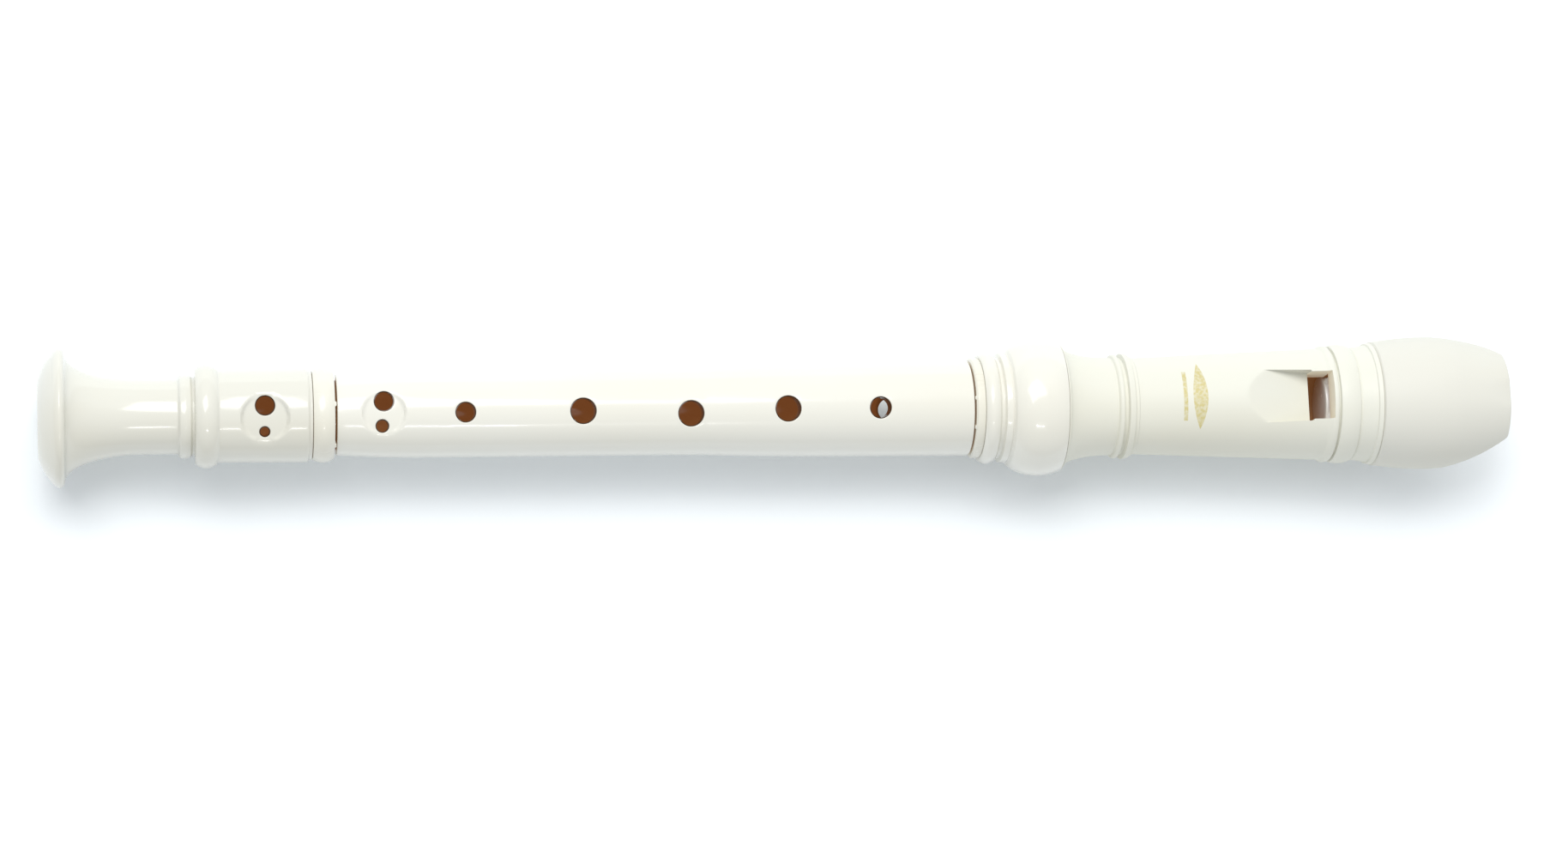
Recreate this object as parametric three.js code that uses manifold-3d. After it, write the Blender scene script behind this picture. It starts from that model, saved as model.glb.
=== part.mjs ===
// A soprano recorder in three joints: head, body and foot. Moulded plastic, German fingering.
// It lies on its back with the finger holes up: +X runs from the bell to the beak, +Z is up,
// and the origin is under the middle of the recorder, on the surface that it rests on.
// Millimetres. "Station" means the distance along the bore from the bell's end.

import * as THREE from 'three';
import { mergeVertices } from 'three/addons/utils/BufferGeometryUtils.js';
import Module from 'manifold-3d';

const wasm = await Module();
wasm.setup();

// Driving dimensions
const LENGTH = 329.2;
const REST_RADIUS = 15.4; // the bell's rim and the bulb, which the recorder lies on
const SIDES = 24; // facets around every turned piece, with one flat facing down
const HOLE_SIDES = 16;
const GAP = 0.3; // clearance between pieces
const HEAD_TURN = -8.6; // degrees that the head is turned on its joint, about +X
const FOOT_TURN = 5; // the same for the foot, which shows only in its holes

const SEAT = {
  footMouth: 64.2, // where the foot's socket ring ends
  bodyStart: 64.7, // where the body's barrel starts
  bodyEnd: 206.0, // the body's shoulder at the head
  headMouth: 206.4, // where the head's socket starts
  bulbSeam: 226.6,
  beakSeam: 299.2,
};
const TENON = { footRadius: 7.6, footEnd: 54.4, headRadius: 8.2, headEnd: 229.6 };
const BORE = { bellMouth: 8.6, footLow: 5.0, footHigh: 5.5, bodyLow: 5.6, bodyHigh: 6.4, head: 6.7 };
const SOCKET_END = { foot: 53.8, head: 230.4 };
const BELL_COUNTERBORE = 9; // depth of the funnel in the bell's end
const BODY = { start: 8.95, middle: 9.65, upper: 10.4, end: 10.7 };
const FOOT_BARREL = 10.3;
const HEAD_BARREL = { low: 10.85, high: 12.6, start: 244.6, end: 287 };

const FINGER_HOLES = [
  { station: 92.7, y: 0, radius: 2.45 },
  { station: 118.6, y: 0, radius: 3.1 },
  { station: 142.5, y: -0.8, radius: 3.1 },
  { station: 164.1, y: 0, radius: 3.1 },
  { station: 184.8, y: 0, radius: 2.6 },
];
const DOUBLE_HOLES = {
  six: {
    station: 74.9,
    turn: 0,
    dish: { radius: 5.0, floor: 8.0 },
    big: { y: 2.6, radius: 2.4 },
    small: { y: -2.8, radius: 1.6 },
  },
  seven: {
    station: 49.0,
    turn: FOOT_TURN,
    dish: { radius: 5.6, floor: 8.5 },
    big: { y: 2.8, radius: 2.35 },
    small: { y: -3.0, radius: 1.4 },
  },
};
const DISH = { hollow: 0.35, lean: 0.7 }; // how far a dish's floor sinks, and its wall leans
const THUMB_HOLE = { station: 189.6, radius: 2.8 };

const WINDOW = {
  rampStart: 268.2, // where the ramp leaves the crown of the barrel
  edge: 283.3, // the sharp edge that splits the air
  end: 287.9,
  width: 11.2,
  rampWidth: 11.8,
  edgeHeight: 7.0,
};
const WINDWAY = { floor: 6.2, roof: 7.9, width: 10.8, tipFloor: 8.7, tipRoof: 10.2 };
const BLOCK = { start: 287.6, end: 327.0, radius: 6.35, bevel: 1.2 };
const BEAK = {
  seamRadius: 13.6,
  max: 15.0, // radius at its fullest
  maxStation: 313,
  tipRadius: 12.2,
  tipTop: 11.8, // heights of the tip's upper and lower edges
  tipBottom: 7.4,
  cutStart: 304.3, // where the hollow curve of the underside starts
  cutDepth: -16,
  cutHollow: 2.2, // how far that curve stands off its chord
  wall: 1.0,
};
const CUTTER_WIDTH = 50; // wider than any piece
const CUTTER_DEPTH = 25;
const BELL = { edge: 13.4, lip: 15.0, neck: 8.25, neckStart: 22.5, neckEnd: 30.2 };
const FOOT_RING_SEAT = SEAT.footMouth - 4.5; // where the socket ring meets the foot's barrel
const LIP_END = SEAT.headMouth + 1.8;
const FOOT_LINER = { inside: TENON.footRadius + GAP + 0.1, wall: 0.9 };
const HEAD_LINER = { inside: TENON.headRadius + GAP + 0.1, wall: 0.9 };
const TAIL = { inside: HEAD_LINER.inside + HEAD_LINER.wall + GAP + 0.1, wall: 0.9, start: 215.6 };

// Turned shapes

/** Points on a circular arc from one [station, radius] to another, standing `bulge` off the chord. */
function arc(from, to, bulge, steps) {
  const [x0, r0] = from;
  const [x1, r1] = to;
  const chord = Math.hypot(x1 - x0, r1 - r0);
  const points = [];
  for (let i = 0; i <= steps; i += 1) {
    const t = i / steps;
    const lift = 4 * bulge * t * (1 - t); // a parabola, which is an arc at these small bulges
    const x = x0 + (x1 - x0) * t - (lift * (r1 - r0)) / chord;
    const r = r0 + (r1 - r0) * t + (lift * (x1 - x0)) / chord;
    points.push([x, r]);
  }
  return points;
}

/** A concave quarter ellipse that falls from one [station, radius] and runs out level at another. */
function cove(from, to, steps) {
  const [x0, r0] = from;
  const [x1, r1] = to;
  const points = [];
  for (let i = 0; i <= steps; i += 1) {
    const angle = (Math.PI / 2) * (i / steps);
    points.push([x1 - (x1 - x0) * Math.cos(angle), r0 + (r1 - r0) * Math.sin(angle)]);
  }
  return points;
}

/** A ring turned about the bore: the outer outline by rising station, closed by the inner outline. */
function turned(outer, inner) {
  const outline = [...outer, ...[...inner].reverse()];
  return turnedOutline([...outline, outline[0]]);
}

/** A solid of revolution about the bore from a closed outline of [station, radius] points. */
function turnedOutline(outline, sides = SIDES) {
  const corner = 1 / Math.cos(Math.PI / sides); // the flats, not the corners, sit at the radius
  const points = outline.map(([x, r]) => new THREE.Vector2(r * corner, x));
  const geometry = new THREE.LatheGeometry(points, sides, Math.PI / sides);
  geometry.rotateZ(-Math.PI / 2);
  return solid(geometry);
}

// Solids

/** The manifold solid of a closed geometry. */
function solid(geometry) {
  const bare = geometry.index ? geometry.clone() : geometry;
  bare.deleteAttribute('normal');
  bare.deleteAttribute('uv');
  const merged = mergeVertices(bare, 1e-4);
  return new wasm.Manifold(new wasm.Mesh({
    numProp: 3,
    vertProperties: merged.attributes.position.array,
    triVerts: new Uint32Array(merged.index.array),
  }));
}

/** The geometry of a manifold solid. */
function geometryOf(body) {
  const mesh = body.getMesh();
  const geometry = new THREE.BufferGeometry();
  geometry.setAttribute('position', new THREE.BufferAttribute(mesh.vertProperties, 3));
  geometry.setIndex(new THREE.BufferAttribute(mesh.triVerts, 1));
  geometry.computeVertexNormals();
  return geometry;
}

/** A round drill through the wall, from one height to another, at a station and a sideways place. */
function drill(station, y, radius, low, high, turn = 0) {
  const geometry = new THREE.CylinderGeometry(radius, radius, high - low, HOLE_SIDES);
  geometry.rotateX(Math.PI / 2);
  geometry.translate(station, y, (low + high) / 2);
  geometry.rotateX(THREE.MathUtils.degToRad(turn));
  return solid(geometry);
}

/** A cutter for a shallow round dish, with a slightly hollow floor and a leaning wall. */
function dishCutter(station, radius, floor, top, turn) {
  const profile = [
    [0, floor - DISH.hollow],
    [radius * 0.55, floor - DISH.hollow * 0.7],
    [radius - DISH.lean, floor],
    [radius, top],
    [0, top],
  ];
  const geometry = new THREE.LatheGeometry(profile.map(([r, z]) => new THREE.Vector2(r, z)), 20);
  geometry.rotateX(Math.PI / 2);
  geometry.translate(station, 0, 0);
  geometry.rotateX(THREE.MathUtils.degToRad(turn));
  return solid(geometry);
}

/** A prism with its outline in the station and height plane, centred on the bore's middle plane. */
function sideways(outline, width) {
  const shape = new THREE.Shape(outline.map(([x, z]) => new THREE.Vector2(x, z)));
  const geometry = new THREE.ExtrudeGeometry(shape, { depth: width, bevelEnabled: false });
  geometry.rotateX(Math.PI / 2);
  geometry.translate(0, width / 2, 0);
  return solid(geometry);
}

// The body

function bodyTube() {
  const outer = [
    [TENON.footEnd, BORE.bodyLow],
    [TENON.footEnd, TENON.footRadius - 0.4],
    [TENON.footEnd + 0.8, TENON.footRadius],
    [SEAT.bodyStart, TENON.footRadius],
    ...arc([SEAT.bodyStart, BODY.start], [82, BODY.middle], 0.1, 3),
    [138, BODY.middle + 0.1],
    ...arc([146, BODY.middle + 0.2], [176, BODY.upper + 0.1], 0.12, 3),
    [SEAT.bodyEnd, BODY.end],
    [SEAT.bodyEnd, TENON.headRadius],
    [TENON.headEnd - 0.8, TENON.headRadius],
    [TENON.headEnd, TENON.headRadius - 0.4],
    [TENON.headEnd, BORE.bodyHigh],
  ];
  let body = turned(outer, []);
  const top = REST_RADIUS;
  for (const hole of FINGER_HOLES) {
    body = body.subtract(drill(hole.station, hole.y, hole.radius, 0, top));
  }
  body = body.subtract(doubleHole(DOUBLE_HOLES.six, top));
  return body.subtract(drill(THUMB_HOLE.station, 0, THUMB_HOLE.radius, -top, 0));
}

/** The dish and its two holes, as one cutter. */
function doubleHole(pair, top) {
  const { station, turn, dish, big, small } = pair;
  return dishCutter(station, dish.radius, dish.floor, top, turn)
    .add(drill(station, big.y, big.radius, 0, top - 1, turn))
    .add(drill(station, small.y, small.radius, 0, top - 1, turn));
}

// The foot

function footJoint() {
  const socket = FOOT_LINER.inside + FOOT_LINER.wall + GAP + 0.05;
  const outer = [
    ...arc([0, BELL.edge], [2.6, REST_RADIUS], 0.5, 3),
    [4.4, REST_RADIUS],
    ...cove([5.2, BELL.lip], [BELL.neckStart, BELL.neck], 7),
    [BELL.neckEnd, BELL.neck],
    [30.7, 9.05], [31.9, 9.25], [33.0, 9.05],
    [33.3, 8.6], [33.8, 8.6],
    ...arc([34.0, 10.5], [38.7, 10.6], 0.9, 4),
    [39.1, FOOT_BARREL - 0.1],
    [58.4, FOOT_BARREL + 0.1],
    [58.8, FOOT_BARREL - 0.4],
    [FOOT_RING_SEAT - GAP, FOOT_BARREL - 0.4],
  ];
  const inner = [
    [0, BORE.bellMouth],
    [BELL_COUNTERBORE, BORE.footLow],
    [SOCKET_END.foot, BORE.footHigh],
    [SOCKET_END.foot, socket],
    [FOOT_RING_SEAT - GAP, socket],
  ];
  return turned(outer, inner).subtract(doubleHole(DOUBLE_HOLES.seven, REST_RADIUS));
}

/** The ring at the foot's mouth, with the thin liner that the body's tenon slides in. */
function footSocketRing() {
  const { inside, wall } = FOOT_LINER;
  const outer = [
    [SOCKET_END.foot + GAP, inside + wall],
    [FOOT_RING_SEAT, inside + wall],
    [FOOT_RING_SEAT, 10.2],
    [FOOT_RING_SEAT + 0.5, 10.5],
    [SEAT.footMouth - 0.5, 10.5],
    [SEAT.footMouth, 10.1],
  ];
  return turned(outer, [[SOCKET_END.foot + GAP, inside], [SEAT.footMouth, inside]]);
}

// The head

function headSocketSleeve() {
  const { inside, wall } = HEAD_LINER;
  const outer = [
    [SEAT.headMouth, 10.7],
    [SEAT.headMouth + 0.4, 11.2],
    [LIP_END, 11.2],
    [LIP_END, inside + wall],
    [SOCKET_END.head - GAP, inside + wall],
  ];
  return turned(outer, [[SEAT.headMouth, inside], [SOCKET_END.head - GAP, inside]]);
}

/** The turned shell around the socket: a bead, a groove, a fine ring and the round bulb. */
function headBulb() {
  const start = LIP_END + GAP;
  const tailOutside = TAIL.inside + TAIL.wall + GAP + 0.1;
  const outer = [
    ...arc([start, 11.9], [start + 3.1, 12.2], 0.65, 4),
    [212.2, 11.5], [212.8, 11.5],
    [213.1, 12.4], [214.5, 12.6],
    [214.9, 12.9],
    ...arc([215.2, 13.6], [219.2, 15.2], 0.25, 2),
    [220.9, REST_RADIUS],
    [222.4, REST_RADIUS],
    ...arc([223.6, 15.3], [SEAT.bulbSeam, 14.75], 0.1, 2),
  ];
  const inner = [
    [start, TAIL.inside],
    [TAIL.start - GAP, TAIL.inside],
    [TAIL.start - GAP, tailOutside],
    [SEAT.bulbSeam, tailOutside],
  ];
  return turned(outer, inner);
}

/** The head's barrel: its tail under the bulb, the cove, the rings, the tapering tube and the window. */
function headBarrel() {
  const start = SEAT.bulbSeam + GAP;
  const end = SEAT.beakSeam;
  const outer = [
    [TAIL.start, TAIL.inside + TAIL.wall],
    [start, TAIL.inside + TAIL.wall],
    [start, 14.6],
    ...cove([start + 0.6, 14.4], [238.4, 11.2], 6),
    [238.8, 10.9],
    ...arc([239.0, 11.4], [240.0, 11.6], 0.2, 2),
    [240.2, 11.2], [241.0, 11.2],
    [241.3, 11.9], [242.5, 11.7],
    [242.7, 11.2], [243.4, 11.2],
    [243.6, HEAD_BARREL.low], [HEAD_BARREL.start, HEAD_BARREL.low],
    [HEAD_BARREL.end, HEAD_BARREL.high],
    ...arc([287.2, 12.9], [288.9, 13.0], 0.25, 2),
    [289.1, 12.6], [289.3, 12.6],
    ...arc([289.5, 13.2], [293.9, 13.1], 0.3, 3),
    [294.1, 12.7], [294.5, 12.8],
    [end - 1.0, 13.2],
    [end - 0.9, 13.7],
    [end - GAP, 13.8],
  ];
  const inner = [
    [TAIL.start, TAIL.inside],
    [SOCKET_END.head, TAIL.inside],
    [SOCKET_END.head, BORE.head],
    [end - GAP, BORE.head],
  ];
  const taper = (HEAD_BARREL.high - HEAD_BARREL.low) / (HEAD_BARREL.end - HEAD_BARREL.start);
  const crown = HEAD_BARREL.low + taper * (WINDOW.rampStart - HEAD_BARREL.start);
  const ramp = [
    [WINDOW.rampStart, crown],
    [WINDOW.edge, WINDOW.edgeHeight],
    [WINDOW.edge, HEAD_BARREL.high + 2],
    [WINDOW.rampStart, HEAD_BARREL.high + 2],
  ];
  const opening = [
    [WINDOW.edge - 0.2, 0],
    [WINDOW.end, 0],
    [WINDOW.end, HEAD_BARREL.high + 2],
    [WINDOW.edge - 0.2, HEAD_BARREL.high + 2],
  ];
  const windway = [
    [WINDOW.end - 1, 0],
    [end, 0],
    [end, roofAt(end)],
    [WINDOW.end - 1, roofAt(WINDOW.end - 1)],
  ];
  return turned(outer, inner)
    .subtract(sideways(ramp, WINDOW.rampWidth))
    .subtract(sideways(opening, WINDOW.width))
    .subtract(sideways(windway, WINDWAY.width));
}

/** The height of the windway's floor or roof at a station, on a straight line to the tip. */
function windwayHeight(atWindow, atTip, station) {
  return atWindow + ((atTip - atWindow) * (station - WINDOW.end)) / (LENGTH - WINDOW.end);
}

const floorAt = (station) => windwayHeight(WINDWAY.floor, WINDWAY.tipFloor, station);
const roofAt = (station) => windwayHeight(WINDWAY.roof, WINDWAY.tipRoof, station);

/** The plug that fills the bore behind the window, with the key on it that is the windway's floor. */
function windwayBlock() {
  const { start, end, radius, bevel } = BLOCK;
  const plug = turnedOutline([[start, 0], [start, radius], [end, radius], [end, 0]]);
  const key = sideways([
    [start, 0],
    [start, floorAt(start) - bevel],
    [start + bevel, floorAt(start + bevel)],
    [end, floorAt(end)],
    [end, 0],
  ], WINDWAY.width - 2 * GAP);
  const front = sideways([
    [start - 1, floorAt(start) - bevel - 1],
    [start + bevel, floorAt(start + bevel)],
    [start + bevel, radius + 1],
    [start - 1, radius + 1],
  ], 3 * radius);
  return plug.subtract(front).add(key).subtract(beakUnderside(BEAK.wall + GAP));
}

/** The hollow curve of the beak's underside, from its lowest point to the tip, raised by an offset. */
function undersideCurve(offset) {
  const from = [BEAK.cutStart, BEAK.cutDepth + offset];
  const to = [LENGTH, BEAK.tipBottom + offset];
  return arc(from, to, BEAK.cutHollow, 8);
}

/** Everything below the beak's underside, raised by an offset. */
function beakUnderside(offset) {
  const beyond = LENGTH + 5;
  return sideways([
    ...undersideCurve(offset),
    [beyond, BEAK.tipBottom + offset],
    [beyond, -CUTTER_DEPTH],
    [BEAK.cutStart, -CUTTER_DEPTH],
  ], CUTTER_WIDTH);
}

/** The mouthpiece: round at the seam, flattening to a wide thin tip, with the windway through it. */
function beakCap() {
  const start = SEAT.beakSeam;
  const round = turnedOutline([
    [start, 0],
    [start, BEAK.seamRadius],
    [start + 0.5, BEAK.seamRadius + 0.4],
    ...arc([start + 1.5, BEAK.seamRadius + 0.5], [BEAK.maxStation, BEAK.max], 0.25, 4),
    ...arc([BEAK.maxStation + 3, BEAK.max - 0.2], [LENGTH - 0.6, BEAK.tipRadius], 0.15, 4),
    [LENGTH, BEAK.tipRadius - 0.6],
    [LENGTH, 0],
  ]);
  const crown = sideways([
    [start - 1, BEAK.max + 1],
    ...arc([BEAK.maxStation + 3, BEAK.max], [LENGTH - 0.8, BEAK.tipTop], 0.3, 4),
    [LENGTH, BEAK.tipTop - 0.5],
    [LENGTH + 2, BEAK.tipTop - 0.5],
    [LENGTH + 2, BEAK.max + 6],
    [start - 1, BEAK.max + 6],
  ], CUTTER_WIDTH);
  const blockEnd = BLOCK.end + GAP;
  const bore = turnedOutline([
    [start - 1, 0],
    [start - 1, BORE.head],
    [blockEnd, BORE.head],
    [blockEnd, 0],
  ]);
  const slot = sideways([
    [start - 1, 0],
    [blockEnd, 0],
    [blockEnd, floorAt(blockEnd)],
    [LENGTH + 1, floorAt(LENGTH + 1)],
    [LENGTH + 1, roofAt(LENGTH + 1)],
    [start - 1, roofAt(start - 1)],
  ], WINDWAY.width);
  const hollow = bore.add(slot).subtract(beakUnderside(BEAK.wall));
  return round.subtract(crown).subtract(beakUnderside(0)).subtract(hollow);
}

// The scene graph

const IVORY = { color: 0xf3efe1, roughness: 0.28, metalness: 0 };
const SATIN_IVORY = { color: 0xf2ecdc, roughness: 0.42, metalness: 0 };
const LINER_IVORY = { color: 0xe9dfc6, roughness: 0.4, metalness: 0 };

function piece(name, body, finish) {
  const mesh = new THREE.Mesh(geometryOf(body), new THREE.MeshStandardMaterial(finish));
  mesh.name = name;
  return mesh;
}

/** A joint of the recorder, whose pieces are modelled by station along the bore. */
function joint(turnDegrees, ...meshes) {
  const group = new THREE.Group();
  group.rotation.x = THREE.MathUtils.degToRad(turnDegrees);
  group.position.set(-LENGTH / 2, 0, REST_RADIUS);
  group.add(...meshes);
  return group;
}

const recorder = new THREE.Group();
recorder.add(
  joint(
    0,
    piece('body_tube', bodyTube(), IVORY),
    piece('foot_joint', footJoint(), IVORY),
    piece('foot_socket_ring', footSocketRing(), LINER_IVORY),
    piece('head_socket_sleeve', headSocketSleeve(), LINER_IVORY),
    piece('head_bulb', headBulb(), IVORY),
  ),
  joint(
    HEAD_TURN,
    piece('head_barrel', headBarrel(), IVORY),
    piece('windway_block', windwayBlock(), LINER_IVORY),
    piece('beak_cap', beakCap(), SATIN_IVORY),
  ),
);

export default recorder;
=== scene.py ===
"""The looks of a soprano recorder in three joints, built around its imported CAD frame.

Every shape is worked out in millimetres by station, the distance along the bore from the bell's end,
with y sideways and z up from the bore's axis. Its place in the frame is put in when its mesh is made.
"""

import logging
import math
from collections.abc import Callable
from dataclasses import dataclass, field
from enum import Enum

import bpy
import numpy as np
from mathutils import Matrix, Vector


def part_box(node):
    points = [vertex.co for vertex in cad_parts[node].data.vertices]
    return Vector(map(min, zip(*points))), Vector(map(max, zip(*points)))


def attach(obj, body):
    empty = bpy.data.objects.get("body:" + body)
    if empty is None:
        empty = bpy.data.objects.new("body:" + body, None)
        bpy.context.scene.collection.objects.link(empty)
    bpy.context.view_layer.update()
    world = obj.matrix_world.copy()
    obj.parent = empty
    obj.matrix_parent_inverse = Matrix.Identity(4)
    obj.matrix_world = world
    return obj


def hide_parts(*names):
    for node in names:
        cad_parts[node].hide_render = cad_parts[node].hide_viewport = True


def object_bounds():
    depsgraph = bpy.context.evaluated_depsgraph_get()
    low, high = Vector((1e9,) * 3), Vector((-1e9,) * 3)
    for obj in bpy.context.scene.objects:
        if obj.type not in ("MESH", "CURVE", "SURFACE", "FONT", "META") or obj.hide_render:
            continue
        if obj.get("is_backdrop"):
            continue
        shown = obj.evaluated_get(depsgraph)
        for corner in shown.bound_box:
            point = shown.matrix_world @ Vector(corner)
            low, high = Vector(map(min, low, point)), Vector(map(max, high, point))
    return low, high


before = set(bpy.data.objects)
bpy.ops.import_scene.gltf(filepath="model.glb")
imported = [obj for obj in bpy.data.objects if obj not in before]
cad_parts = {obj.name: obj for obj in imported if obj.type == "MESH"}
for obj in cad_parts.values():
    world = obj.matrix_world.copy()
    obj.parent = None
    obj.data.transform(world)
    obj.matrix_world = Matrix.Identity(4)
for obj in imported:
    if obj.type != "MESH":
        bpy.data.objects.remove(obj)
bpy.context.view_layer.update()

MM = 0.001
COLUMNS = 240  # points around every turned piece
PITCH = 0.4  # spacing of the rows that holes are cut between
HEAD_TURN = -9.0  # degrees that the head is turned on its joint
FOOT_TURN = 5.0
BORE_DEPTH = 0.55  # how far inside the bore's walls look, from 0 outside to 1, which sets their painted shade
CORNER_ANGLE = 14  # degrees past which an outline's corner is rounded
SHARP_ANGLE = 38  # degrees past which a mesh's edge stays sharp

Array = np.ndarray
Pair = tuple[float, float]
Triple = tuple[float, float, float]
Surface = tuple[Array, Array, Array]  # points, faces and depths
Socket = bpy.types.NodeSocket
Height = Callable[[Array, Array], Array]

log = logging.getLogger("recorder")


class Body(Enum):
    """The bodies of the frame that the pieces ride on."""

    BODY = "body"
    HEAD = "head"
    HEAD_SOCKET = "head_socket"
    FOOT = "foot"
    FOOT_SOCKET = "foot_socket"


class Slot(Enum):
    """The record's material slots."""

    GLOSS = "gloss_ivory"
    SATIN = "satin_ivory"
    LINER = "liner_ivory"


# The frame


def axis_height() -> float:
    """Height of the bore's axis above the floor, in millimetres."""
    low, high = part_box("body_tube")
    return (low.z + high.z) / 2 / MM


def bell_end() -> float:
    """The x of the bell's end in the frame, in millimetres."""
    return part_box("foot_joint")[0].x / MM


def reach(node: str) -> Pair:
    """First and last station of a CAD node.

    Args:
        node: the node's name in the frame.

    Returns:
        The two stations, in millimetres.
    """
    low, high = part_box(node)
    return low.x / MM - bell_end(), high.x / MM - bell_end()


# Outlines, each an array of [station, radius] rows


def bowed(start: Pair, end: Pair, bulge: float, steps: int = 8) -> Array:
    """A chord from start to end, lifted off itself by 4 * bulge * t * (1 - t), a shallow arc.

    Args:
        start: first station and radius.
        end: last station and radius.
        bulge: how far the middle stands off the chord.
        steps: number of segments.

    Returns:
        The points, one a row.
    """
    first, last = np.array(start, float), np.array(end, float)
    t = np.linspace(0, 1, steps + 1)[:, None]
    along = last - first
    off = np.array([-along[1], along[0]]) / np.hypot(*along)
    return first + along * t + off * 4 * bulge * t * (1 - t)


def coved(start: Pair, end: Pair, steps: int = 16) -> Array:
    """A hollow quarter ellipse: station end - span * cos(a), radius start + drop * sin(a), a from 0 to 90 degrees.

    Args:
        start: station and radius of the steep end.
        end: station and radius of the level end.
        steps: number of segments.

    Returns:
        The points, one a row.
    """
    angle = np.linspace(0, np.pi / 2, steps + 1)
    station = end[0] - (end[0] - start[0]) * np.cos(angle)
    radius = start[1] + (end[1] - start[1]) * np.sin(angle)
    return np.column_stack([station, radius])


def joined(*parts: Array | list) -> Array:
    """One outline from several arrays or lists of points."""
    return np.vstack([np.atleast_2d(np.array(part, float)) for part in parts])


def eased(points: Array, radius: float, steps: int = 4) -> Array:
    """An outline with its corners rounded: each becomes a quadratic curve from one side to the other.

    A corner turns by more than 14 degrees. Its curve starts and ends `radius` away from it, or at
    0.45 of the shorter side.

    Args:
        points: the outline.
        radius: how far from a corner its curve starts.
        steps: segments in each curve.

    Returns:
        The rounded outline.
    """
    back, ahead = points[:-2] - points[1:-1], points[2:] - points[1:-1]
    long_back, long_ahead = np.hypot(*back.T), np.hypot(*ahead.T)
    cosine = (back * ahead).sum(1) / np.maximum(long_back * long_ahead, 1e-9)
    corner = cosine > -math.cos(math.radians(CORNER_ANGLE))
    trim = np.minimum(radius, 0.45 * np.minimum(long_back, long_ahead))
    a = points[1:-1] + back * (trim / np.maximum(long_back, 1e-9))[:, None]
    b = points[1:-1] + ahead * (trim / np.maximum(long_ahead, 1e-9))[:, None]
    t = np.linspace(0, 1, steps + 1)[None, :, None]
    curve = a[:, None] * (1 - t) ** 2 + points[1:-1, None] * 2 * t * (1 - t) + b[:, None] * t**2
    curve[~corner, 0] = points[1:-1][~corner]
    keep = np.zeros(curve.shape[:2], bool)
    keep[:, 0] = True
    keep[corner] = True
    return np.vstack([points[:1], curve[keep], points[-1:]])


def resampled(outline: Array, rows: Array) -> Array:
    """The outline with its points near the given stations replaced by one point at each station.

    Args:
        outline: the outline, by rising station.
        rows: the stations, rising.

    Returns:
        The new outline.
    """
    if not len(rows):
        return outline
    away = np.abs(outline[:, :1] - rows[None]).min(1) > 0.75 * PITCH
    added = np.column_stack([rows, np.interp(rows, *outline.T)])
    merged = np.vstack([outline[away], added])
    return merged[np.argsort(merged[:, 0], kind="stable")]


def round_height(outline: Array, station: Array, y: Array) -> Array:
    """Height of a turned surface: sqrt(radius^2 - y^2), with the radius read off its outline."""
    return np.sqrt(np.maximum(np.interp(station, *outline.T) ** 2 - y**2, 0.01))


def smooth_step(value: Array) -> Array:
    """0 below 0, 1 above 1, and 3t^2 - 2t^3 between."""
    t = np.clip(value, 0, 1)
    return t * t * (3 - 2 * t)


def smooth_min(a: Array, b: Array, blend: float) -> Array:
    """The smaller of a and b, rounded off over `blend` where they cross."""
    h = np.clip(0.5 + 0.5 * (b - a) / blend, 0, 1)
    return b + (a - b) * h - blend * h * (1 - h)


# Surfaces


@dataclass(frozen=True)
class Hole:
    """A round hole drilled straight down through a tube's wall, or straight up from below."""

    station: float
    y: float
    radius: float
    rim: float = 0.2  # radius of its rounded edge
    margin: float = 0.75  # how far the rows and columns it is cut between stand off it
    draw: float = 0.2  # how far its wall draws in below the edge
    from_below: bool = False

    def rows(self) -> Array:
        """The stations, on a common lattice, that the hole is cut between."""
        half = self.radius + self.rim + self.margin
        first = math.floor((self.station - half) / PITCH)
        last = math.ceil((self.station + half) / PITCH)
        return np.arange(first, last + 1) * PITCH

    def columns(self, tube_radius: float) -> tuple[int, int]:
        """First and last column that the hole is cut between.

        Args:
            tube_radius: the tube's outside radius at the hole.

        Returns:
            The two column numbers, counted from the top towards +y.
        """
        half = math.asin((self.radius + self.rim + self.margin) / tube_radius)
        middle = math.pi if self.from_below else math.asin(self.y / tube_radius)
        step = 2 * math.pi / COLUMNS
        return math.floor((middle - half) / step), math.ceil((middle + half) / step)


@dataclass(frozen=True)
class Dish:
    """A shallow round dish sunk into a tube, with a soft wall and a slightly hollow floor."""

    station: float
    radius: float
    floor: float
    wall: float = 0.8
    hollow: float = 0.3
    follow: float = 0.5  # how far its floor keeps to the tube's own curve

    def rows(self) -> Array:
        """The stations, on the holes' lattice, that its wall and floor need."""
        first = math.floor((self.station - self.radius) / PITCH) - 1
        last = math.ceil((self.station + self.radius) / PITCH) + 1
        return np.arange(first, last + 1) * PITCH

    def sink(self, station: Array, y: Array, z: Array) -> Array:
        """Heights with the dish sunk into them.

        Inside, the floor is level - hollow * (1 - d^2), then carried a share of the way back to the
        tube's own height. It is blended into the tube over the wall.

        Args:
            station: stations of the points.
            y: their places sideways.
            z: their heights on the tube.

        Returns:
            The new heights.
        """
        distance = np.hypot(station - self.station, y)
        floor = self.floor - self.hollow * (1 - (distance / self.radius) ** 2)
        floor = floor + self.follow * (z - floor)
        share = smooth_step((distance - self.radius + self.wall) / self.wall)
        sunk = np.minimum(z, floor) * (1 - share) + z * share
        return np.where((z > 0) & (distance < self.radius), sunk, z)


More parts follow.
